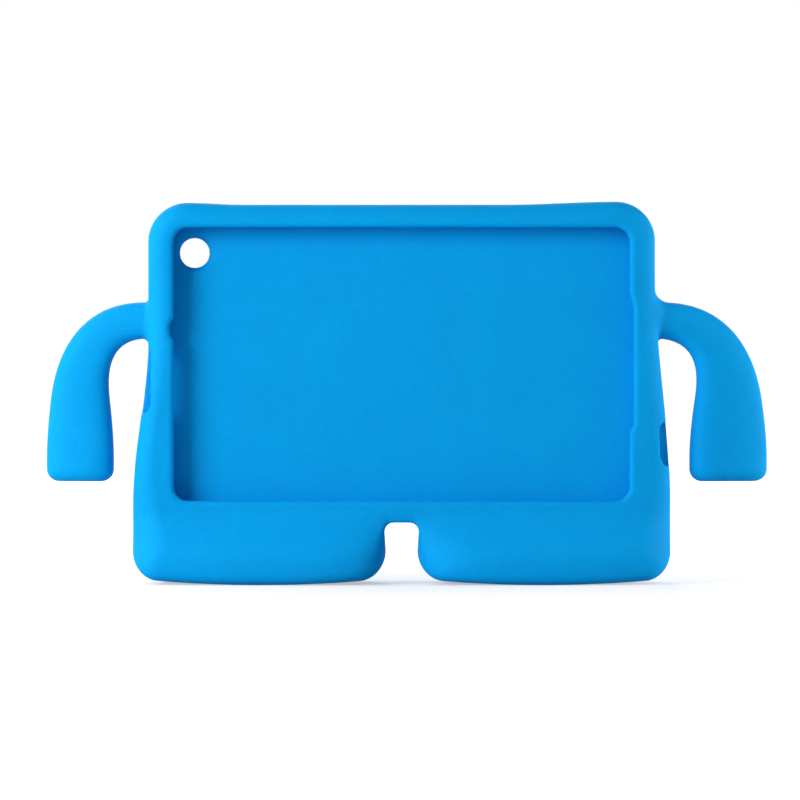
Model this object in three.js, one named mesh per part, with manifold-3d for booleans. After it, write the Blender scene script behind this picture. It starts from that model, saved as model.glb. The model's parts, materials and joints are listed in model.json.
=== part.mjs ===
// A child's tablet case, moulded in one piece of foam: a padded body with a pocket behind a window,
// two arms to carry it by and two feet to stand on.
//
// Millimetres. X runs to the right as the case faces the viewer, Y to the back and Z up. The origin
// lies on the surface that the case stands on, under the middle of the case.

import * as THREE from 'three';
import { LoftGeometry } from 'three/addons/geometries/LoftGeometry.js';
import { mergeVertices } from 'three/addons/utils/BufferGeometryUtils.js';
import Module from 'manifold-3d';

const { clamp, degToRad, lerp, smoothstep } = THREE.MathUtils;

// What the pocket is moulded to hold, lying on its long edge, and the play round it
const tabletWidth = 210.1;
const tabletHeight = 124.4;
const tabletThickness = 8;
const tabletCornerRadius = 8;
const tabletClearance = 0.6;

// The foam round the pocket
const sideWall = 4.4;
const topWall = 5.7;
const crotchWall = 6;
const backWall = 8;
const backTaper = 2.9; // what the back gains in thickness from the top down to the heels
const bodyCornerRadius = 15;
const cornerRise = 1.6; // how far the top corners stand above the middle of the top edge
const cornerRiseWidth = 34;
const edgeRound = 8; // how far the rounded edge reaches in from the outline
const edgeLand = 1.2; // the flat line left along the outline, where the mould parts

// The lip in front of the pocket, and the window in it
const lipThickness = 4;
const lipOverlapEnds = 6.1;
const lipOverlapSides = 2.9;
const windowCornerRadius = 5.2;
const windowEdgeRound = 1.2;

// The notches in the window's ends: a round one for a sensor, a long one for a button
const sensorNotchHeight = 112.3;
const sensorNotchLength = 9.4;
const sensorNotchDepth = 1.8;
const buttonNotchBottom = 69.6;
const buttonNotchLength = 48.4;
const buttonNotchDepth = 1.8;
const buttonNotchLowRamp = 4;
const buttonNotchHighRamp = 11;

// The feet
const footHeight = 26.8; // the height of the gap between them
const footFlare = 6.9; // how much wider than the body they are, on each side
const soleDepth = 52;
const soleRound = 6;
const soleCornerLength = 22; // the sole's corners, seen from the front, are quarters of an ellipse
const soleCornerHeight = 12;
const toeReach = 11; // how far the toes stand in front of the lip
const toeTuck = 6; // how far their inner ends turn back behind it
const toeBand = 2.4; // the flat band left between the window and the swell of the toes
const toeFullHeight = 10;
const toeFall = 0.38; // the share of the reach that is lost at the outer side
const heelTopHeight = 56;
const heelFullHeight = 12;
const footRound = 16; // the round of the outer corners, seen from above
const flareBottomHeight = 33;
const flareTopHeight = 136;

// The gap between the feet
const gapNarrowWidth = 13.6;
const gapWideWidth = 14.8;
const gapCornerRadius = 4;
const footCrest = 30; // from the middle of the case to where the rounded inner end of a foot stops

// The arms
const shoulderDrop = 50.4; // from the top edge down to the middle of the arm's root
const shoulderThickness = 16.8;
const shoulderDepth = 15;
const armGap = 8.4; // between the widest part of the body and the hand
const leftHandWidth = 29.4;
const rightHandWidth = 34;
const handDepth = 19;
const handHeight = 44.4; // the lower end of the hand, above the surface
const elbowDrop = 38.5; // the height over which the arm turns from level to upright
const elbowFullness = 2.5; // 2 is an ellipse, and more is squarer
const armSectionFullness = 2.6;
const handRound = 5.2;
const armSweep = 9; // degrees that the arms lean to the back as they reach out
const armSetBack = 3.4; // how far the root's middle lies behind the middle of the body's edge

// The openings in the sides for plugs and sound, and the one in the back for a camera
const portDepth = 7;
const portEndRoundness = 0.98; // its ends are all but half circles
const portCountersink = 1.8;
const leftPortHeight = 88.5;
const leftPortLength = 28.3;
const rightPortHeight = 60.9;
const rightPortLength = 19.2;
const cameraDiameter = 13;
const cameraFromEnd = 15;
const cameraFromTop = 14;
const cameraCountersink = 2.4;

// Places worked out from the sizes
const pocketWidth = tabletWidth + 2 * tabletClearance;
const pocketHeight = tabletHeight + 2 * tabletClearance;
const pocketDepth = tabletThickness + tabletClearance;
const pocketBottom = footHeight + crotchWall;
const pocketTop = pocketBottom + pocketHeight;
const pocketCornerRadius = tabletCornerRadius + tabletClearance;
const bodyTop = pocketTop + topWall;
const bodyHalfWidth = pocketWidth / 2 + sideWall;
const footHalfWidth = bodyHalfWidth + footFlare;

const lipFront = -soleDepth / 2 + toeReach;
const pocketFront = lipFront + lipThickness;
const pocketFloor = pocketFront + pocketDepth;
const backAtTop = pocketFloor + backWall;
const backAtHeels = backAtTop + backTaper;
const heelReach = soleDepth / 2 - backAtHeels;
const partingY = (lipFront + backAtTop) / 2;

const windowHalfWidth = tabletWidth / 2 - lipOverlapEnds;
const windowBottom = pocketBottom + tabletClearance + lipOverlapSides;
const windowTop = pocketTop - tabletClearance - lipOverlapSides;
const toeTopHeight = windowBottom - windowEdgeRound - toeBand;

const footStart = gapNarrowWidth / 2 - 0.4; // where the inner ends begin, just inside the gap
const shoulderHeight = bodyTop - shoulderDrop;
const portMiddle = (pocketFront + pocketFloor) / 2;

const cutMargin = 1; // how far a cutter runs past the surface that it cuts
const wasm = await Module();
wasm.setup();

/** The solid that a closed geometry bounds. */
function solidOf(geometry) {
	const bare = new THREE.BufferGeometry();
	bare.setAttribute('position', geometry.attributes.position);
	bare.setIndex(geometry.index);
	const merged = mergeVertices(bare, 1e-4);
	return new wasm.Manifold(new wasm.Mesh({
		numProp: 3,
		vertProperties: merged.attributes.position.array,
		triVerts: new Uint32Array(merged.index.array),
	}));
}

/** How far a rounded end has come in at a height above it: its length at 0, nothing at its own height. */
function roundInset(height, roundHeight, roundLength = roundHeight) {
	const rest = clamp(1 - height / roundHeight, 0, 1);
	return roundLength * (1 - Math.sqrt(1 - rest * rest));
}

/** The body's outline in the front view: how wide each side is at a height, without its top corners. */
function sideAt(z) {
	const flare = lerp(footHalfWidth, bodyHalfWidth, smoothstep(z, flareBottomHeight, flareTopHeight));
	return flare - roundInset(z, soleCornerHeight, soleCornerLength);
}

/** How far a point in the front view lies inside the body's outline. */
function distanceInside(x, z) {
	const aside = Math.abs(x) - (bodyHalfWidth - bodyCornerRadius);
	const above = z - (bodyTop - bodyCornerRadius);
	if (aside > 0 && above > 0) return bodyCornerRadius - Math.hypot(aside, above);
	return Math.min(sideAt(z) - Math.abs(x), bodyTop - z);
}

/** How wide each side is at a height, with the top corners. */
function halfWidthAt(z) {
	const above = clamp(z - (bodyTop - bodyCornerRadius), 0, bodyCornerRadius);
	return sideAt(z) - bodyCornerRadius + Math.sqrt(bodyCornerRadius ** 2 - above ** 2);
}

/** How far a foot reaches out across the body: from its rounded inner end, over its crest, to its side. */
function footReach(x, fullReach, tuck) {
	const inner = clamp((Math.abs(x) - footStart) / (footCrest - footStart), 0, 1);
	const outer = clamp((Math.abs(x) - footCrest) / (footHalfWidth - footCrest), 0, 1);
	const rounded = Math.sqrt(inner * (2 - inner));
	return lerp(-tuck, fullReach * (1 - toeFall * outer * outer), rounded);
}

/** One level outline of the body, anticlockwise from above. */
function bodySection(z) {
	const inset = roundInset(z, soleRound);
	const toe = 1 - smoothstep(z, toeFullHeight, toeTopHeight);
	const heel = 1 - smoothstep(z, heelFullHeight, heelTopHeight);
	const taper = backTaper * (1 - smoothstep(z, heelTopHeight, bodyTop));
	const side = halfWidthAt(z);
	const round = lerp(edgeRound, footRound, heel);

	const surfaceDepth = (x, level, swell, reach) => {
		const depth = Math.abs(level - partingY) + reach * swell - inset;
		const roundDepth = lerp(depth - edgeLand / 2, Math.min(footRound, depth - edgeLand / 2), swell);
		const inside = clamp(distanceInside(x, z) / round, 0, 1);
		return depth - roundDepth + roundDepth * Math.sqrt(inside * (2 - inside));
	};

	const across = [0];
	for (let i = 0; i <= 6; i++) {
		across.push(lerp(footCrest, footStart, Math.cos((i / 6) * Math.PI / 2)));
	}
	for (const share of [0.35, 0.7]) across.push(lerp(footCrest, side - round, share));
	for (let i = 0; i <= 6; i++) across.push(side - round + round * Math.sin((i / 6) * Math.PI / 2));
	const fromLeft = [...across.slice(1).reverse().map((x) => -x), ...across];

	const front = fromLeft.map((x) => {
		return [x, partingY - surfaceDepth(x, lipFront, toe, footReach(x, toeReach, toeTuck))];
	});
	const back = fromLeft.map((x) => {
		return [x, partingY + surfaceDepth(x, backAtTop + taper, heel, footReach(x, heelReach, 0))];
	});
	return [...front, ...back.reverse()].map(([x, y]) => {
		const corner = smoothstep(Math.abs(x), bodyHalfWidth - bodyCornerRadius - cornerRiseWidth,
			bodyHalfWidth - bodyCornerRadius);
		return new THREE.Vector3(x, y, z + cornerRise * corner * smoothstep(z, pocketTop - topWall, bodyTop));
	});
}

/** The body without its hollows, from the soles up to the top edge. */
function bodyForm() {
	const heights = [];
	for (let i = 0; i <= 5; i++) heights.push(soleRound * (1 - Math.cos((i / 5) * Math.PI / 2)));
	for (let i = 1; i <= 8; i++) heights.push(lerp(soleRound, toeTopHeight + 2, i / 8));
	for (let i = 1; i <= 5; i++) heights.push(lerp(toeTopHeight + 2, heelTopHeight + 2, i / 5));
	for (let i = 1; i <= 5; i++) heights.push(lerp(heelTopHeight + 2, bodyTop - bodyCornerRadius, i / 5));
	for (let i = 1; i <= 7; i++) {
		heights.push(bodyTop - bodyCornerRadius + bodyCornerRadius * Math.sin((i / 7) * Math.PI / 2 * 0.93));
	}
	return solidOf(new LoftGeometry(heights.map(bodySection), { capStart: true, capEnd: true }));
}

/** An arm, from inside the body out over the elbow and down to the hand. side is -1 on the left. */
function arm(side, handWidth) {
	const rootX = bodyHalfWidth - edgeLand;
	const handX = footHalfWidth + armGap + handWidth / 2;
	const elbowHeight = shoulderHeight - elbowDrop;
	const line = [[rootX - edgeRound, shoulderHeight]];
	for (let i = 0; i <= 11; i++) {
		const turn = (i / 11) * Math.PI / 2;
		line.push([
			rootX + (handX - rootX) * Math.sin(turn) ** (2 / elbowFullness),
			elbowHeight + elbowDrop * Math.cos(turn) ** (2 / elbowFullness),
		]);
	}
	for (let i = 1; i <= 2; i++) line.push([handX, lerp(elbowHeight, handHeight + handRound, i / 2)]);
	for (let i = 1; i <= 4; i++) {
		line.push([handX, handHeight + handRound * (1 - Math.sin((i / 4) * Math.PI / 2))]);
	}

	const path = line.map(([x, z]) => new THREE.Vector2(x, z));
	const travelled = [0];
	for (let i = 1; i < path.length; i++) travelled.push(travelled[i - 1] + path[i].distanceTo(path[i - 1]));
	const length = travelled.at(-1);

	const sections = path.map((middle, i) => {
		const before = path[Math.max(i - 1, 0)];
		const after = path[Math.min(i + 1, path.length - 1)];
		const outward = new THREE.Vector2(before.y - after.y, after.x - before.x).normalize();
		const share = smoothstep(travelled[i], edgeRound, length);
		const inset = roundInset(middle.y - handHeight, handRound);
		const halfWidth = lerp(shoulderThickness, handWidth, share) / 2 - inset;
		const halfDepth = lerp(shoulderDepth, handDepth, share) / 2 - inset;
		const points = [];
		for (let j = 0; j < 24; j++) {
			const angle = -side * (j / 24) * 2 * Math.PI;
			const power = 2 / armSectionFullness;
			const across = halfWidth * Math.sign(Math.cos(angle)) * Math.abs(Math.cos(angle)) ** power;
			const deep = halfDepth * Math.sign(Math.sin(angle)) * Math.abs(Math.sin(angle)) ** power;
			const x = middle.x + outward.x * across;
			const z = middle.y + outward.y * across;
			const swept = Math.max(x - rootX, 0) * Math.tan(degToRad(armSweep));
			points.push(new THREE.Vector3(side * x, partingY + armSetBack + swept + deep, z));
		}
		return points;
	});
	return solidOf(new LoftGeometry(sections, { capStart: true, capEnd: true }));
}

/** A cutter that runs along Y from front to back, with its outline given in X and Z. */
function cutAlongY(shape, front, back, edge = {}) {
	const geometry = new THREE.ExtrudeGeometry(shape, {
		depth: back - front,
		bevelEnabled: false,
		curveSegments: 6,
		...edge,
	});
	geometry.rotateX(Math.PI / 2);
	geometry.translate(0, back, 0);
	return solidOf(geometry);
}

/** Options that make a cutter flare at its ends, so that it leaves a rounded edge. */
function roundedEdge(radius) {
	return {
		bevelEnabled: true,
		bevelThickness: radius,
		bevelSize: -radius,
		bevelOffset: radius,
		bevelSegments: 3,
	};
}

/** A rectangle with round corners. */
function roundedRectangle(left, bottom, right, top, radius) {
	const shape = new THREE.Shape();
	shape.moveTo(left + radius, bottom);
	shape.lineTo(right - radius, bottom);
	shape.absarc(right - radius, bottom + radius, radius, -Math.PI / 2, 0);
	shape.lineTo(right, top - radius);
	shape.absarc(right - radius, top - radius, radius, 0, Math.PI / 2);
	shape.lineTo(left + radius, top);
	shape.absarc(left + radius, top - radius, radius, Math.PI / 2, Math.PI);
	shape.lineTo(left, bottom + radius);
	shape.absarc(left + radius, bottom + radius, radius, Math.PI, Math.PI * 1.5);
	return shape;
}

/** The hollow in the body, behind the window. */
function pocket() {
	const right = pocketWidth / 2;
	const shape = roundedRectangle(-right, pocketBottom, right, pocketTop, pocketCornerRadius);
	return cutAlongY(shape, pocketFront, pocketFloor);
}

/** The window in the lip, with its two notches. */
function screenWindow() {
	const radius = windowCornerRadius;
	const right = windowHalfWidth;
	const buttonNotchTop = buttonNotchBottom + buttonNotchLength;
	const notchRadius = (sensorNotchLength ** 2 / 4 + sensorNotchDepth ** 2) / (2 * sensorNotchDepth);
	const notchAngle = Math.asin(sensorNotchLength / 2 / notchRadius);

	const shape = new THREE.Shape();
	shape.moveTo(-right + radius, windowBottom);
	shape.lineTo(right - radius, windowBottom);
	shape.absarc(right - radius, windowBottom + radius, radius, -Math.PI / 2, 0);
	shape.lineTo(right, buttonNotchBottom - buttonNotchLowRamp);
	shape.lineTo(right + buttonNotchDepth, buttonNotchBottom);
	shape.lineTo(right + buttonNotchDepth, buttonNotchTop);
	shape.lineTo(right, buttonNotchTop + buttonNotchHighRamp);
	shape.lineTo(right, windowTop - radius);
	shape.absarc(right - radius, windowTop - radius, radius, 0, Math.PI / 2);
	shape.lineTo(-right + radius, windowTop);
	shape.absarc(-right + radius, windowTop - radius, radius, Math.PI / 2, Math.PI);
	shape.absarc(-right + notchRadius - sensorNotchDepth, sensorNotchHeight, notchRadius,
		Math.PI - notchAngle, Math.PI + notchAngle);
	shape.absarc(-right + radius, windowBottom + radius, radius, Math.PI, Math.PI * 1.5);

	const edge = roundedEdge(windowEdgeRound);
	const skin = 0.02; // the flared end stands just clear of the lip's face
	return cutAlongY(shape, lipFront - skin + windowEdgeRound, pocketFront + cutMargin, edge);
}

/** The gap between the feet, open to the front, the back and below. */
function footGap() {
	const narrow = gapNarrowWidth / 2;
	const wide = gapWideWidth / 2;
	const shape = new THREE.Shape();
	const flareX = narrow + soleCornerLength;
	const quarter = Math.PI / 2;
	const length = soleCornerLength;
	const height = soleCornerHeight;
	shape.moveTo(-flareX, -cutMargin);
	shape.lineTo(flareX, -cutMargin);
	shape.absellipse(flareX, height, length, height, -quarter, -2 * quarter, true);
	shape.lineTo(wide, footHeight - gapCornerRadius);
	shape.absarc(wide - gapCornerRadius, footHeight - gapCornerRadius, gapCornerRadius, 0, quarter);
	shape.absarc(gapCornerRadius - wide, footHeight - gapCornerRadius, gapCornerRadius, quarter, 2 * quarter);
	shape.absellipse(-flareX, height, length, height, 0, -quarter, true);
	return cutAlongY(shape, -soleDepth / 2 - cutMargin, soleDepth / 2 + cutMargin);
}

/** An opening through a side wall into the pocket, countersunk outside. side is -1 on the left. */
function port(side, height, length) {
	const half = portDepth / 2;
	const shape = roundedRectangle(-half, -length / 2, half, length / 2, half * portEndRoundness);
	const outside = sideAt(height) + portCountersink / 2;
	const inside = pocketWidth / 2 - cutMargin;
	const geometry = new THREE.ExtrudeGeometry(shape, {
		...roundedEdge(portCountersink),
		depth: outside - portCountersink - inside,
		curveSegments: 4,
	});
	const along = new THREE.Matrix4().makeBasis(
		new THREE.Vector3(0, side, 0),
		new THREE.Vector3(0, 0, 1),
		new THREE.Vector3(side, 0, 0),
	);
	geometry.applyMatrix4(along);
	geometry.translate(side * inside, portMiddle, height);

	// The mouth leans with the side that it opens in
	const points = geometry.attributes.position;
	for (let i = 0; i < points.count; i++) {
		if (Math.abs(points.getX(i)) < pocketWidth / 2) continue;
		points.setX(i, points.getX(i) + side * (sideAt(points.getZ(i)) - sideAt(height)));
	}
	return solidOf(geometry);
}

/** The round hole in the back that a camera looks out of, countersunk outside. */
function cameraHole() {
	const radius = cameraDiameter / 2;
	const outside = backAtTop + backTaper + cutMargin;
	const geometry = new THREE.LatheGeometry([
		new THREE.Vector2(0, pocketFloor - cutMargin),
		new THREE.Vector2(radius, pocketFloor - cutMargin),
		new THREE.Vector2(radius, backAtTop - cameraCountersink),
		new THREE.Vector2(radius + cameraCountersink / 2, backAtTop - cameraCountersink / 3),
		new THREE.Vector2(radius + cameraCountersink, backAtTop),
		new THREE.Vector2(radius + cameraCountersink, outside),
		new THREE.Vector2(0, outside),
	], 32);
	geometry.translate(-tabletWidth / 2 + cameraFromEnd, 0, pocketTop - tabletClearance - cameraFromTop);
	return solidOf(geometry);
}

/** The three.js geometry of a solid. */
function geometryOf(solid) {
	const mesh = solid.getMesh();
	const geometry = new THREE.BufferGeometry();
	geometry.setAttribute('position', new THREE.BufferAttribute(mesh.vertProperties, 3));
	geometry.setIndex(new THREE.BufferAttribute(mesh.triVerts, 1));
	geometry.computeVertexNormals();
	return geometry;
}

let solid = bodyForm().add(arm(-1, leftHandWidth)).add(arm(1, rightHandWidth));
const hollows = [
	pocket(),
	screenWindow(),
	footGap(),
	port(-1, leftPortHeight, leftPortLength),
	port(1, rightPortHeight, rightPortLength),
	cameraHole(),
];
for (const hollow of hollows) solid = solid.subtract(hollow);

// The right hand is the wider one, so the body stands a little to the left of the case's middle
solid = solid.translate((leftHandWidth - rightHandWidth) / 2, 0, 0);

const foam = new THREE.MeshStandardMaterial({ color: 0x009eea, roughness: 0.7, metalness: 0 });
const foamCase = new THREE.Mesh(geometryOf(solid), foam);
foamCase.name = 'foam_case';

const part = new THREE.Group();
part.add(foamCase);

export default part;
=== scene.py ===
"""A child's tablet case, moulded in one piece of blue foam, standing on a white floor.

The case is written as one distance field, in millimetres, so that its arms, feet, window and
openings run into each other with rounded edges, as moulded foam does. The field is turned into a
mesh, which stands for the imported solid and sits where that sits.
"""
import json
import math

import bpy
import numpy as np
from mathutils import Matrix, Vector


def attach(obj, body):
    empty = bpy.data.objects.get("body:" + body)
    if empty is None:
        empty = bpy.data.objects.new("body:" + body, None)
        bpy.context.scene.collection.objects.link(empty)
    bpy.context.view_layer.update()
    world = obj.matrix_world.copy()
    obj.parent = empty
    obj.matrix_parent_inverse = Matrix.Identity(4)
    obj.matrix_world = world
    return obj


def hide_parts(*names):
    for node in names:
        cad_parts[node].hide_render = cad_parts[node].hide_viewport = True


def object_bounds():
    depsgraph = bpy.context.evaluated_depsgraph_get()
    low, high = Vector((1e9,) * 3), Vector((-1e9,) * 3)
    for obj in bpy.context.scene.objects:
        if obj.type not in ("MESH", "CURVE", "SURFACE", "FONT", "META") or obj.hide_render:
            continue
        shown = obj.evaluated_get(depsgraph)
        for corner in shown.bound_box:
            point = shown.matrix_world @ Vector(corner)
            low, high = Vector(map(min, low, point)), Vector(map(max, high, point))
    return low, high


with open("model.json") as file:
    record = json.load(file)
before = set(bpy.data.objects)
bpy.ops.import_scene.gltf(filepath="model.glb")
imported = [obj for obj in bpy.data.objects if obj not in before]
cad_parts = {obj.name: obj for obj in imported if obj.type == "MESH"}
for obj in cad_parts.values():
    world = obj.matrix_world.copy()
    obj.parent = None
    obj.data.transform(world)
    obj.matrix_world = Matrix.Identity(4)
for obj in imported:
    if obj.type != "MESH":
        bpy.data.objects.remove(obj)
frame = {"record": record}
cad_box = [list(corner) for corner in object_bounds()]

MM = 0.001
mounts = {mount["name"]: mount for mount in frame["record"]["mounts"]}
MIDDLE_X = mounts["pocket_floor"]["pos_m"][0] / MM  # the body's middle, in the row frame
CASE_DEPTH = (cad_box[1][1] - cad_box[0][1]) / MM

# Sizes of the case, in mm

# What the pocket is moulded to hold, lying on its long edge, and the play round it
TABLET_WIDTH = 210.1
TABLET_HEIGHT = 124.4
TABLET_THICKNESS = 8.0
TABLET_CORNER_RADIUS = 8.0
TABLET_CLEARANCE = 0.6

# The foam round the pocket
SIDE_WALL = 4.4
TOP_WALL = 6.4
CROTCH_WALL = 6.0
BACK_WALL = 8.0
BACK_TAPER = 2.9
BODY_CORNER_RADIUS = 17.0
LEFT_CORNER_RISE = 0.8
LEFT_CORNER_RISE_WIDTH = 24.0
RIGHT_CORNER_RISE = 1.3
RIGHT_CORNER_RISE_WIDTH = 48.0
EDGE_ROUND = 8.0

# The lip, and the window in it
LIP_THICKNESS = 4.0
LIP_OVERLAP_ENDS = 6.1
LIP_OVERLAP_SIDES = 2.9
WINDOW_CORNER_RADIUS = 6.4
WINDOW_EDGE_ROUND = 2.2
POCKET_EDGE_ROUND = 0.8
SENSOR_NOTCH_HEIGHT = 110.8
SENSOR_NOTCH_LENGTH = 9.4
SENSOR_NOTCH_DEPTH = 1.8
BUTTON_NOTCH_BOTTOM = 69.6
BUTTON_NOTCH_LENGTH = 48.4
BUTTON_NOTCH_DEPTH = 1.8
BUTTON_NOTCH_LOW_RAMP = 4.0
BUTTON_NOTCH_HIGH_RAMP = 11.0

# The feet
FOOT_HEIGHT = 26.8
FOOT_FLARE = 6.9
FLARE_BOTTOM_HEIGHT = 33.0
FLARE_TOP_HEIGHT = 136.0
LEFT_FLARE_TOP_HEIGHT = 109.0
SOLE_ROUND = 6.0
SOLE_ROUND_HEIGHT = 18.0  # where the round of the sole has gone over into that of the side
SOLE_CORNER_LENGTH = 11.0
SOLE_CORNER_HEIGHT = 12.0
SOLE_CAMBER = 2.6
TOE_REACH = 11.0
TOE_TUCK = 6.0  # how far a toe lies behind the lip beside the gap
TOE_BAND = 1.4  # between the toes and the round edge of the window
TOE_FULL_HEIGHT = 10.0
TOE_FALL = 0.5  # the share of its reach that a foot loses at its side
HEEL_TOP_HEIGHT = 56.0
HEEL_FULL_HEIGHT = 12.0
FOOT_ROUND = 16.0
FOOT_CREST = 38.0
FOOT_START_INSET = 0.4
GAP_NARROW_WIDTH = 13.6
GAP_WIDE_WIDTH = 14.8
GAP_CORNER_RADIUS = 4.0
GAP_EDGE_ROUND = 4.0
GAP_TOP_ROUND = 1.2

# The arms
SHOULDER_DROP = 50.3
SHOULDER_THICKNESS = 15.8
SHOULDER_DEPTH = 15.0
SHOULDER_INSET = 1.2
LEFT_SHOULDER_ROUND = 1.8
LEFT_ARMPIT_ROUND = 3.0
RIGHT_SHOULDER_ROUND = 6.0
RIGHT_ARMPIT_ROUND = 2.0
ARM_GAP = 8.4
LEFT_HAND_WIDTH = 29.4
RIGHT_HAND_WIDTH = 34.0
HAND_DEPTH = 19.0
HAND_HEIGHT = 44.4
HAND_ROUND = 5.2
FULL_HAND_LENGTH = 9.0
ELBOW_DROP = 38.5
ELBOW_FULLNESS = 2.5  # 2 is an ellipse, and more is squarer
ELBOW_POINTS = 41
ARM_SECTION_FULLNESS = 2.6
ARM_SWEEP = 9.0  # degrees
ARM_SET_BACK = 3.4

# The line where the two halves of the mould met
FLASH_WIDTH = 1.6
FLASH_HEIGHT = 0.25

# The openings in the sides and the back
PORT_DEPTH = 7.0
PORT_ROUND = 0.8
PORT_COUNTERSINK_START = 3.0
PORT_COUNTERSINK_END = 1.0
PORT_COUNTERSINK_MOST = 3.0
PORT_MOUTH = 5.0
LEFT_PORT_HEIGHT = 88.5
LEFT_PORT_LENGTH = 28.3
LEFT_PORT_COUNTERSINK = 0.8
RIGHT_PORT_HEIGHT = 60.9
RIGHT_PORT_LENGTH = 19.2
RIGHT_PORT_COUNTERSINK = 2.4
CAMERA_DIAMETER = 13.0
CAMERA_FROM_END = 15.0
CAMERA_FROM_TOP = 14.0
CAMERA_ROUND = 2.4

# Places worked out from the sizes
POCKET_HALF_WIDTH = TABLET_WIDTH / 2 + TABLET_CLEARANCE
POCKET_BOTTOM = FOOT_HEIGHT + CROTCH_WALL
POCKET_TOP = POCKET_BOTTOM + TABLET_HEIGHT + 2 * TABLET_CLEARANCE
POCKET_CORNER_RADIUS = TABLET_CORNER_RADIUS + TABLET_CLEARANCE
BODY_TOP = POCKET_TOP + TOP_WALL
BODY_HALF_WIDTH = POCKET_HALF_WIDTH + SIDE_WALL
FOOT_HALF_WIDTH = BODY_HALF_WIDTH + FOOT_FLARE
LIP_FRONT = -CASE_DEPTH / 2 + TOE_REACH
POCKET_FRONT = LIP_FRONT + LIP_THICKNESS
POCKET_FLOOR = POCKET_FRONT + TABLET_THICKNESS + TABLET_CLEARANCE
BACK_AT_TOP = POCKET_FLOOR + BACK_WALL
HEEL_REACH = CASE_DEPTH / 2 - BACK_AT_TOP - BACK_TAPER
PARTING_Y = (LIP_FRONT + BACK_AT_TOP) / 2
WINDOW_HALF_WIDTH = TABLET_WIDTH / 2 - LIP_OVERLAP_ENDS
WINDOW_BOTTOM = POCKET_BOTTOM + TABLET_CLEARANCE + LIP_OVERLAP_SIDES
WINDOW_TOP = POCKET_TOP - TABLET_CLEARANCE - LIP_OVERLAP_SIDES
TOE_TOP_HEIGHT = WINDOW_BOTTOM - WINDOW_EDGE_ROUND - TOE_BAND
FOOT_START = GAP_NARROW_WIDTH / 2 - FOOT_START_INSET
FOOT_MIDDLE = (GAP_NARROW_WIDTH / 2 + FOOT_HALF_WIDTH) / 2
SHOULDER_HEIGHT = BODY_TOP - SHOULDER_DROP
SHOULDER_X = BODY_HALF_WIDTH - SHOULDER_INSET
PORT_Y = (POCKET_FRONT + POCKET_FLOOR) / 2
CAMERA_X = CAMERA_FROM_END - TABLET_WIDTH / 2
CAMERA_Z = POCKET_TOP - TABLET_CLEARANCE - CAMERA_FROM_TOP

# The grid on which the field is sampled. Its marks lie close together at the gap, the ends of the
# window, the soles, the edges of the pocket and the side openings.
FINE_X = [(-8.5, -5.5), (5.5, 8.5), (-118, -96), (96, 118)]
FINE_Y = [(LIP_FRONT - 1, POCKET_FLOOR + 1)]
FINE_Z = [(0, 2), (25, 40), (50, 72), (74, 103), (151, 158)]
GRID_GROWTH = 0.3
GRID_MARGIN = 2
GRID_MARGIN_ENDS = 4
GRID_MARGIN_TOP = 5

# Limits that keep a division or a step in bounds
CORNER_LEAST = 1e-6
OVAL_LEAST = 0.05
SLOPE_LEAST = 0.05
LONGEST_STEP = 1


# Ways to join distance fields


def smoothstep(value, low, high):
    share = np.clip((value - low) / (high - low), 0, 1)
    return share * share * (3 - 2 * share)


def mix(low, high, share):
    return low + (high - low) * share


def both(a, b, radius):
    """What lies inside a and b, with a rounded edge where they meet."""
    corner = np.hypot(np.maximum(a + radius, 0), np.maximum(b + radius, 0))
    return np.minimum(np.maximum(a, b), -radius) + corner


def either(a, b, radius):
    """What lies inside a or b, with a rounded hollow where they meet."""
    corner = np.hypot(np.maximum(radius - a, 0), np.maximum(radius - b, 0))
    return np.maximum(np.minimum(a, b), radius) - corner


def without(a, b, radius):
    """What lies inside a and outside b, with a rounded edge where they meet."""
    return both(a, -b, radius)


def slab(value, low, high):
    """How far a value lies outside a range."""
    return np.maximum(low - value, value - high)


# The body


def side_at(z, flare_top):
    """How wide a side of the body is at a height."""
    flare = smoothstep(z, FLARE_BOTTOM_HEIGHT, flare_top)
    return mix(FOOT_HALF_WIDTH, BODY_HALF_WIDTH, flare)


def with_sole_corner(side, z):
    """A side in the front view, with the elliptical corner where it meets the sole."""
    u = np.maximum(1 + side / SOLE_CORNER_LENGTH, 0)
    v = np.maximum(1 - z / SOLE_CORNER_HEIGHT, 0)
    out = np.hypot(u, v)
    steepness = np.hypot(u / SOLE_CORNER_LENGTH, v / SOLE_CORNER_HEIGHT)
    corner = out * (out - 1) / np.maximum(steepness, CORNER_LEAST)
    return np.where((u > 0) & (v > 0), corner, np.maximum(side, -z))


def foot_gap(x, z):
    """The gap between the feet, in the front view."""
    share = smoothstep(z, SOLE_CORNER_HEIGHT, FOOT_HEIGHT - GAP_CORNER_RADIUS)
    half_width = mix(GAP_NARROW_WIDTH, GAP_WIDE_WIDTH, share) / 2
    return both(np.abs(x) - half_width, z - FOOT_HEIGHT, GAP_CORNER_RADIUS)


def outline(x, z):
    """The body and its feet in the front view."""
    across = np.abs(x)
    sole = SOLE_CAMBER * ((across - FOOT_MIDDLE) / (FOOT_HALF_WIDTH - FOOT_MIDDLE)) ** 2
    flare_top = np.where(x < 0, LEFT_FLARE_TOP_HEIGHT, FLARE_TOP_HEIGHT)
    side = with_sole_corner(np.maximum(across - side_at(z, flare_top), -foot_gap(x, z)), z - sole)
    rise_end = BODY_HALF_WIDTH - BODY_CORNER_RADIUS
    rise = np.where(x < 0, LEFT_CORNER_RISE, RIGHT_CORNER_RISE)
    rise_width = np.where(x < 0, LEFT_CORNER_RISE_WIDTH, RIGHT_CORNER_RISE_WIDTH)
    rise = rise * smoothstep(across, rise_end - rise_width, rise_end)
    return both(side, z - BODY_TOP - rise, BODY_CORNER_RADIUS)


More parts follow.
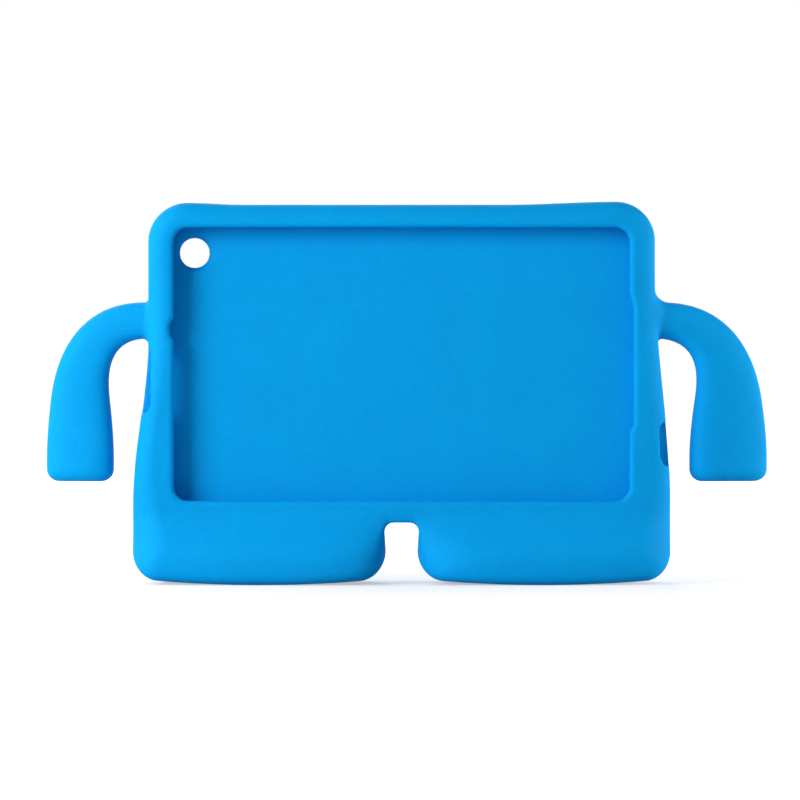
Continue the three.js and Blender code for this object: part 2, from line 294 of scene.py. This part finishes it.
def foot_reach(x, full_reach, tuck):
    """How far a foot reaches out across the body, from its rounded inner end to its side."""
    across = np.abs(x)
    inner = np.clip((across - FOOT_START) / (FOOT_CREST - FOOT_START), 0, 1)
    outer = np.clip((across - FOOT_CREST) / (FOOT_HALF_WIDTH - FOOT_CREST), 0, 1)
    rounded = np.sqrt(inner * (2 - inner))
    return mix(-tuck, full_reach * (1 - TOE_FALL * outer * outer), rounded)


def front_y(x, z):
    toe = 1 - smoothstep(z, TOE_FULL_HEIGHT, TOE_TOP_HEIGHT)
    return LIP_FRONT - toe * foot_reach(x, TOE_REACH, TOE_TUCK)


def back_y(x, z):
    heel = 1 - smoothstep(z, HEEL_FULL_HEIGHT, HEEL_TOP_HEIGHT)
    taper = BACK_TAPER * (1 - smoothstep(z, HEEL_TOP_HEIGHT, BODY_TOP))
    return BACK_AT_TOP + taper + heel * foot_reach(x, HEEL_REACH, 0)


def face(surface, x, y, z, sign):
    """How far a point stands out from a surface given as y over x and z."""
    step = 0.1
    slope_x = (surface(x + step, z) - surface(x - step, z)) / (2 * step)
    slope_z = (surface(x, z + step) - surface(x, z - step)) / (2 * step)
    return sign * (y - surface(x, z)) / np.sqrt(1 + slope_x**2 + slope_z**2)


def body(x, y, z):
    faces = np.maximum(face(front_y, x, y, z, -1), face(back_y, x, y, z, 1))
    heel = 1 - smoothstep(z, HEEL_FULL_HEIGHT, HEEL_TOP_HEIGHT)
    edge = mix(EDGE_ROUND, FOOT_ROUND, heel)
    edge = mix(SOLE_ROUND, edge, smoothstep(z, 0, SOLE_ROUND_HEIGHT))
    gap_edge = mix(GAP_EDGE_ROUND, GAP_TOP_ROUND, smoothstep(z, SOLE_CORNER_HEIGHT, FOOT_HEIGHT))
    beside_gap = 1 - smoothstep(np.abs(x), GAP_WIDE_WIDTH / 2, FOOT_CREST)
    beside_gap = beside_gap * (1 - smoothstep(z, FOOT_HEIGHT, 2 * FOOT_HEIGHT))
    return both(outline(x, z), faces, mix(edge, gap_edge, beside_gap))


# The arms


def arm_line(hand_width):
    """Points down the middle of the right arm, and how far along it each one lies."""
    hand_x = FOOT_HALF_WIDTH + ARM_GAP + hand_width / 2
    elbow_height = SHOULDER_HEIGHT - ELBOW_DROP
    turns = np.linspace(0, math.pi / 2, ELBOW_POINTS)
    power = 2 / ELBOW_FULLNESS
    x = SHOULDER_X + (hand_x - SHOULDER_X) * np.sin(turns) ** power
    z = elbow_height + ELBOW_DROP * np.cos(turns) ** power
    x = np.concatenate([[SHOULDER_X - EDGE_ROUND], x, [hand_x]])
    z = np.concatenate([[SHOULDER_HEIGHT], z, [HAND_HEIGHT - hand_width]])
    return x, z, np.concatenate([[0.0], np.cumsum(np.hypot(np.diff(x), np.diff(z)))])


def arm(x, y, z, hand_width):
    """An arm on the right of the body."""
    line_x, line_z, line_length = arm_line(hand_width)
    away = np.full(np.broadcast(x, z).shape, np.inf)
    along = np.zeros_like(away)
    for n in range(len(line_x) - 1):
        run = np.array([line_x[n + 1] - line_x[n], line_z[n + 1] - line_z[n]])
        share = np.clip(((x - line_x[n]) * run[0] + (z - line_z[n]) * run[1]) / (run @ run), 0, 1)
        distance = np.hypot(x - line_x[n] - share * run[0], z - line_z[n] - share * run[1])
        nearer = distance < away
        along = np.where(nearer, mix(line_length[n], line_length[n + 1], share), along)
        away = np.where(nearer, distance, away)
    growth = smoothstep(along, EDGE_ROUND, line_length[-1] - hand_width - FULL_HAND_LENGTH)
    half_width = mix(SHOULDER_THICKNESS, hand_width, growth) / 2
    half_depth = mix(SHOULDER_DEPTH, HAND_DEPTH, growth) / 2
    limb = oval(away, y - arm_middle_y(x), half_width, half_depth)
    return both(limb, HAND_HEIGHT - z, HAND_ROUND)


def oval(across, deep, half_width, half_depth):
    """How far a point lies outside a section that is fuller than an ellipse."""
    u = across / half_width
    v = np.abs(deep) / half_depth
    power = ARM_SECTION_FULLNESS
    out = np.maximum((u**power + v**power) ** (1 / power), OVAL_LEAST)
    rise = np.hypot(u ** (power - 1) / half_width, v ** (power - 1) / half_depth)
    steepness = out ** (1 - power) * rise
    return (out - 1) / np.maximum(steepness, 0.5 / half_width)


def arm_middle_y(x):
    """The depth at which an arm's middle lies: it leans to the back as it reaches out."""
    sweep = math.tan(math.radians(ARM_SWEEP))
    return PARTING_Y + ARM_SET_BACK + np.maximum(x - SHOULDER_X, 0) * sweep


# The hollows


def window(x, y, z):
    """The window in the lip, with a round notch for a sensor and a long one for a button."""
    radius = SENSOR_NOTCH_LENGTH**2 / 8 / SENSOR_NOTCH_DEPTH + SENSOR_NOTCH_DEPTH / 2
    off = np.clip(z - SENSOR_NOTCH_HEIGHT, -SENSOR_NOTCH_LENGTH / 2, SENSOR_NOTCH_LENGTH / 2)
    sensor = np.sqrt(radius**2 - off**2) - radius + SENSOR_NOTCH_DEPTH
    top = BUTTON_NOTCH_BOTTOM + BUTTON_NOTCH_LENGTH
    rising = smoothstep(z, BUTTON_NOTCH_BOTTOM - BUTTON_NOTCH_LOW_RAMP, BUTTON_NOTCH_BOTTOM)
    falling = 1 - smoothstep(z, top, top + BUTTON_NOTCH_HIGH_RAMP)
    button = BUTTON_NOTCH_DEPTH * np.minimum(rising, falling)
    ends = np.abs(x) - WINDOW_HALF_WIDTH - np.where(x < 0, sensor, button)
    opening = both(ends, slab(z, WINDOW_BOTTOM, WINDOW_TOP), WINDOW_CORNER_RADIUS)
    return np.maximum(opening, y - PORT_Y)


def pocket(x, y, z):
    """The hollow in the body, behind the window."""
    ends = np.abs(x) - POCKET_HALF_WIDTH
    shape = both(ends, slab(z, POCKET_BOTTOM, POCKET_TOP), POCKET_CORNER_RADIUS)
    return both(shape, slab(y, POCKET_FRONT, POCKET_FLOOR), POCKET_EDGE_ROUND)


def port(x, y, z, height, length, countersink, flare_top):
    """An opening through the wall on the right, cut wider where the side stands out more."""
    radius = PORT_DEPTH / 2
    along = np.maximum(np.abs(z - height) - length / 2 + radius, 0)
    side = side_at(z, flare_top)
    bulge = np.maximum(side - side_at(height + length / 2, flare_top), 0)
    outside = x - BODY_HALF_WIDTH
    sunk = smoothstep(outside, -PORT_COUNTERSINK_START, -PORT_COUNTERSINK_END)
    flare = sunk * np.minimum(countersink + bulge, PORT_COUNTERSINK_MOST)
    hole = np.hypot(along, np.maximum(np.abs(y - PORT_Y) - flare, 0)) - radius
    return np.maximum(hole, slab(x, WINDOW_HALF_WIDTH, side + PORT_MOUTH))


def camera_hole(x, y, z):
    ring = np.hypot(x - CAMERA_X, z - CAMERA_Z) - CAMERA_DIAMETER / 2
    return np.maximum(ring, PORT_Y - y)


def foam(x, y, z):
    """The whole case, with the middle of its body at x = 0."""
    above = smoothstep(z, SHOULDER_HEIGHT - EDGE_ROUND, SHOULDER_HEIGHT + EDGE_ROUND)
    left_round = mix(LEFT_ARMPIT_ROUND, LEFT_SHOULDER_ROUND, above)
    right_round = mix(RIGHT_ARMPIT_ROUND, RIGHT_SHOULDER_ROUND, above)
    shape = either(body(x, y, z), arm(-x, y, z, LEFT_HAND_WIDTH), left_round)
    shape = either(shape, arm(x, y, z, RIGHT_HAND_WIDTH), right_round)
    shape = without(shape, window(x, y, z), WINDOW_EDGE_ROUND)
    shape = without(shape, pocket(x, y, z), POCKET_EDGE_ROUND)
    left = (LEFT_PORT_HEIGHT, LEFT_PORT_LENGTH, LEFT_PORT_COUNTERSINK, LEFT_FLARE_TOP_HEIGHT)
    right = (RIGHT_PORT_HEIGHT, RIGHT_PORT_LENGTH, RIGHT_PORT_COUNTERSINK, FLARE_TOP_HEIGHT)
    shape = without(shape, port(-x, y, z, *left), PORT_ROUND)
    shape = without(shape, port(x, y, z, *right), PORT_ROUND)
    return without(shape, camera_hole(x, y, z), CAMERA_ROUND)


# From a field to a mesh


def ruler(low, high, fine, coarse, zones):
    """Marks from low to high, close together inside the zones and further apart between them."""
    marks = [low]
    while marks[-1] < high:
        away = min(max(slab(marks[-1], *zone), 0) for zone in zones)
        marks.append(marks[-1] + min(coarse, fine + GRID_GROWTH * away))
    return np.array(marks)


def slope(field, points, here, step=0.02):
    """The field's gradient at some points, from its values there."""
    ahead = [field(*(points + move).T) for move in step * np.eye(3)]
    return (np.stack(ahead, 1) - here[:, None]) / step


def mesh_of(field, rulers, passes=4):
    """Vertices and four-sided faces of a field's surface, one vertex in each cell that it crosses."""
    values = field(*np.meshgrid(*rulers, indexing="ij", sparse=True))
    shape = np.array(values.shape)
    strides = np.array([shape[1] * shape[2], shape[2], 1])
    cells, places, quads = [], [], []
    for axis in range(3):
        ahead = np.roll(values, -1, axis)
        crosses = (values < 0) != (ahead < 0)
        crosses[tuple(slice(-1, None) if n == axis else slice(None) for n in range(3))] = False
        at = np.argwhere(crosses)
        near, far = values[crosses], ahead[crosses]
        place = np.stack([rulers[n][at[:, n]] for n in range(3)], 1)
        length = rulers[axis][at[:, axis] + 1] - rulers[axis][at[:, axis]]
        place[:, axis] += length * near / (near - far)
        u, v = np.eye(3, dtype=int)[[(axis + 1) % 3, (axis + 2) % 3]]
        around = np.stack([at, at - u, at - u - v, at - v], 1) @ strides
        around[near > 0] = around[near > 0][:, ::-1]
        quads.append(around[:, ::-1])
        cells.append(around.ravel())
        places.append(np.repeat(place, 4, 0))
    used, index = np.unique(np.concatenate(cells), return_inverse=True)
    total = np.stack([np.bincount(index, column) for column in np.concatenate(places).T], 1)
    points = total / np.bincount(index)[:, None]
    faces = np.searchsorted(used, np.concatenate(quads))
    for _ in range(passes):
        here = field(*points.T)
        direction = slope(field, points, here)
        offset = here / np.maximum((direction**2).sum(1), SLOPE_LEAST)
        points -= np.clip(offset, -LONGEST_STEP, LONGEST_STEP)[:, None] * direction
    return points, faces


def new_mesh(name, points, faces):
    mesh = bpy.data.meshes.new(name)
    mesh.vertices.add(len(points))
    mesh.vertices.foreach_set("co", np.ascontiguousarray(points, np.float32).ravel())
    mesh.loops.add(faces.size)
    mesh.loops.foreach_set("vertex_index", faces.ravel().astype(np.int32))
    mesh.polygons.add(len(faces))
    mesh.polygons.foreach_set("loop_start", np.arange(0, faces.size, 4, dtype=np.int32))
    mesh.polygons.foreach_set("use_smooth", np.ones(len(faces), bool))
    mesh.update(calc_edges=True)
    mesh.validate()
    made = bpy.data.objects.new(name, mesh)
    bpy.context.scene.collection.objects.link(made)
    return made


# Materials

FOAM_SPECULAR = 0.07
FOAM_SMOOTH = 0.64
FOAM_ROUGH = 0.8
DEEP_BLUE = (0.0, 0.330, 0.77, 1)
LIGHT_BLUE = (0.0, 0.370, 0.84, 1)
DEEP_BLUE_AT = 0.33
LIGHT_BLUE_AT = 0.67
SPECK_SHARE = 0.6

# The patterns in the foam's skin, with their sizes and depths in mm
CLOUD_SIZE = 26
SPECK_SIZE = 2.4
GLOSS_SIZE = 9
PEBBLE_SIZE = 1.1
PEBBLE_DEPTH = 0.12
PEBBLE_STRENGTH = 0.6
WAVE_SIZE = 17
WAVE_DEPTH = 0.5
WAVE_STRENGTH = 0.3


def noise(tree, size_mm, detail, roughness=0.5):
    """A soft random pattern whose patches are about as large as the size."""
    node = tree.nodes.new("ShaderNodeTexNoise")
    node.inputs["Scale"].default_value = 1 / (size_mm * MM)
    node.inputs["Detail"].default_value = detail
    node.inputs["Roughness"].default_value = roughness
    place = tree.nodes.new("ShaderNodeTexCoord")
    tree.links.new(place.outputs["Object"], node.inputs["Vector"])
    return node.outputs["Fac"]


def bump(tree, height, depth_mm, strength=1.0, on_top_of=None):
    """A relief as deep as the depth where the height is one."""
    node = tree.nodes.new("ShaderNodeBump")
    node.inputs["Distance"].default_value = depth_mm * MM
    node.inputs["Strength"].default_value = strength
    tree.links.new(height, node.inputs["Height"])
    if on_top_of is not None:
        tree.links.new(on_top_of, node.inputs["Normal"])
    return node.outputs["Normal"]


def mottled_blue(tree):
    """Blue that varies a little, in wide clouds and in specks."""
    mottle = tree.nodes.new("ShaderNodeMix")
    mottle.inputs["Factor"].default_value = SPECK_SHARE
    tree.links.new(noise(tree, CLOUD_SIZE, detail=3), mottle.inputs["A"])
    tree.links.new(noise(tree, SPECK_SIZE, detail=4, roughness=0.7), mottle.inputs["B"])
    colour = tree.nodes.new("ShaderNodeValToRGB")
    deep, light = colour.color_ramp.elements
    deep.position = DEEP_BLUE_AT
    deep.color = DEEP_BLUE
    light.position = LIGHT_BLUE_AT
    light.color = LIGHT_BLUE
    tree.links.new(mottle.outputs["Result"], colour.inputs["Fac"])
    return colour.outputs["Color"]


def parting_line(tree):
    """One on the parting line and nought beside it."""
    away = tree.nodes.new("ShaderNodeAttribute")
    away.attribute_name = "from_parting"
    either_way = tree.nodes.new("ShaderNodeMath")
    either_way.operation = "ABSOLUTE"
    tree.links.new(away.outputs["Fac"], either_way.inputs[0])
    flash = tree.nodes.new("ShaderNodeMapRange")
    flash.interpolation_type = "SMOOTHERSTEP"
    flash.inputs["From Min"].default_value = FLASH_WIDTH / 2
    flash.inputs["From Max"].default_value = 0.0
    tree.links.new(either_way.outputs[0], flash.inputs["Value"])
    return flash.outputs["Result"]


def foam_material():
    """Closed-cell foam with a matt moulded skin."""
    material = bpy.data.materials.new("foam")
    material.use_nodes = True
    tree = material.node_tree
    shader = tree.nodes["Principled BSDF"]
    shader.inputs["Specular IOR Level"].default_value = FOAM_SPECULAR
    tree.links.new(mottled_blue(tree), shader.inputs["Base Color"])
    roughness = between(tree, noise(tree, GLOSS_SIZE, detail=3), FOAM_SMOOTH, FOAM_ROUGH)
    tree.links.new(roughness, shader.inputs["Roughness"])

    grain = noise(tree, PEBBLE_SIZE, detail=2, roughness=0.6)
    pebbles = bump(tree, grain, PEBBLE_DEPTH, PEBBLE_STRENGTH)
    swell = noise(tree, WAVE_SIZE, detail=1)
    waves = bump(tree, swell, WAVE_DEPTH, WAVE_STRENGTH, on_top_of=pebbles)
    line = bump(tree, parting_line(tree), FLASH_HEIGHT, on_top_of=waves)
    tree.links.new(line, shader.inputs["Normal"])
    return material


def seen_share(tree):
    """One where the camera sees a thing straight, mirrored or through glass, and otherwise nought."""
    path = tree.nodes.new("ShaderNodeLightPath")
    share = path.outputs["Is Camera Ray"]
    for name in ("Is Glossy Ray", "Is Transmission Ray"):
        larger = tree.nodes.new("ShaderNodeMath")
        larger.operation = "MAXIMUM"
        tree.links.new(share, larger.inputs[0])
        tree.links.new(path.outputs[name], larger.inputs[1])
        share = larger.outputs[0]
    return share


def between(tree, share, low, high):
    """A number that goes from low to high with the share."""
    node = tree.nodes.new("ShaderNodeMapRange")
    node.inputs["To Min"].default_value = low
    node.inputs["To Max"].default_value = high
    tree.links.new(share, node.inputs["Value"])
    return node.outputs["Result"]


def floor_material():
    """White, with the case's shadow, and as bright to the camera as the background behind it."""
    material = bpy.data.materials.new("white_floor")
    material.use_nodes = True
    tree = material.node_tree
    shader = tree.nodes["Principled BSDF"]
    shader.inputs["Base Color"].default_value = (FLOOR_WHITE, FLOOR_WHITE, FLOOR_WHITE, 1)
    shader.inputs["Roughness"].default_value = 1.0
    shader.inputs["Specular IOR Level"].default_value = 0.0
    shader.inputs["Emission Color"].default_value = (1, 1, 1, 1)
    place = tree.nodes.new("ShaderNodeNewGeometry")
    away = tree.nodes.new("ShaderNodeVectorMath")
    away.operation = "LENGTH"
    tree.links.new(place.outputs["Position"], away.inputs[0])
    glow = between(tree, away.outputs["Value"], GLOW_NEAR, GLOW_FAR)
    glow.node.inputs["From Max"].default_value = GLOW_REACH
    seen = tree.nodes.new("ShaderNodeMath")
    seen.operation = "MULTIPLY"
    tree.links.new(glow, seen.inputs[0])
    tree.links.new(seen_share(tree), seen.inputs[1])
    tree.links.new(seen.outputs[0], shader.inputs["Emission Strength"])
    return material


# Camera, lights and stage

CAMERA_DISTANCE = 3.5
CAMERA_ELEVATION = 1.2
SEEN_WIDTH = 0.348
SENSOR_WIDTH = 36.0
AIM = Vector((-0.003, -0.004, 0.0799))

WORLD_LIGHT = 0.3
FLOOR_REACH = 8.0
FLOOR_WHITE = 0.6
GLOW_NEAR = 0.45
GLOW_FAR = 0.9
GLOW_REACH = 0.6


def make_camera():
    data = bpy.data.cameras.new("camera")
    data.sensor_width = SENSOR_WIDTH
    data.lens = SENSOR_WIDTH * CAMERA_DISTANCE / SEEN_WIDTH
    camera = bpy.data.objects.new("camera", data)
    bpy.context.scene.collection.objects.link(camera)
    rise = math.radians(CAMERA_ELEVATION)
    camera.location = AIM + CAMERA_DISTANCE * Vector((0, -math.cos(rise), math.sin(rise)))
    camera.rotation_euler = (math.pi / 2 - rise, 0, 0)
    bpy.context.scene.camera = camera


def soft_lamp(name, azimuth, elevation, distance, size, level):
    """A lamp that points at the case. Its level is how bright white is where it faces the lamp."""
    data = bpy.data.lights.new(name, "AREA")
    data.size = size
    data.energy = level * (math.pi * distance) ** 2
    lamp = bpy.data.objects.new(name, data)
    turn, rise = math.radians(azimuth), math.radians(elevation)
    flat = math.cos(rise)
    direction = Vector((flat * math.sin(turn), -flat * math.cos(turn), math.sin(rise)))
    lamp.location = AIM + distance * direction
    lamp.rotation_euler = direction.to_track_quat("Z", "Y").to_euler()
    bpy.context.scene.collection.objects.link(lamp)


def make_stage():
    world = bpy.data.worlds.new("world")
    world.use_nodes = True
    bpy.context.scene.world = world
    tree = world.node_tree
    light = tree.nodes["Background"]
    light.inputs["Color"].default_value = (1, 1, 1, 1)
    strength = between(tree, seen_share(tree), WORLD_LIGHT, 1)
    tree.links.new(strength, light.inputs["Strength"])

    corners = FLOOR_REACH * np.array([(-1, -1, 0), (1, -1, 0), (1, 1, 0), (-1, 1, 0)])
    floor = new_mesh("floor", corners, np.array([[0, 1, 2, 3]]))
    floor.data.materials.append(floor_material())


make_camera()
make_stage()
soft_lamp("key", azimuth=-48, elevation=16, distance=1.5, size=0.7, level=0.82)
soft_lamp("left", azimuth=-95, elevation=20, distance=0.9, size=0.35, level=0.26)
soft_lamp("right", azimuth=92, elevation=6, distance=1.2, size=0.24, level=0.62)
soft_lamp("back", azimuth=195, elevation=30, distance=1.6, size=1.0, level=0.5)

# The case

reach_x = FOOT_HALF_WIDTH + ARM_GAP + RIGHT_HAND_WIDTH + GRID_MARGIN_ENDS
reach_y = CASE_DEPTH / 2 + GRID_MARGIN
rulers = [
    ruler(-reach_x, reach_x, fine=0.75, coarse=2.2, zones=FINE_X),
    ruler(-reach_y, reach_y, fine=0.7, coarse=1.6, zones=FINE_Y),
    ruler(-GRID_MARGIN, BODY_TOP + GRID_MARGIN_TOP, fine=0.75, coarse=2.0, zones=FINE_Z),
]
points, faces = mesh_of(foam, rulers)
points[:, 0] += MIDDLE_X
case = new_mesh("moulded_case", points * MM, faces)
from_parting = case.data.attributes.new("from_parting", "FLOAT", "POINT")
from_parting.data.foreach_set("value", points[:, 1] - arm_middle_y(np.abs(points[:, 0] - MIDDLE_X)))
case.data.materials.append(foam_material())
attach(case, "root")
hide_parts("foam_case")

bpy.context.scene.view_settings.view_transform = "Standard"
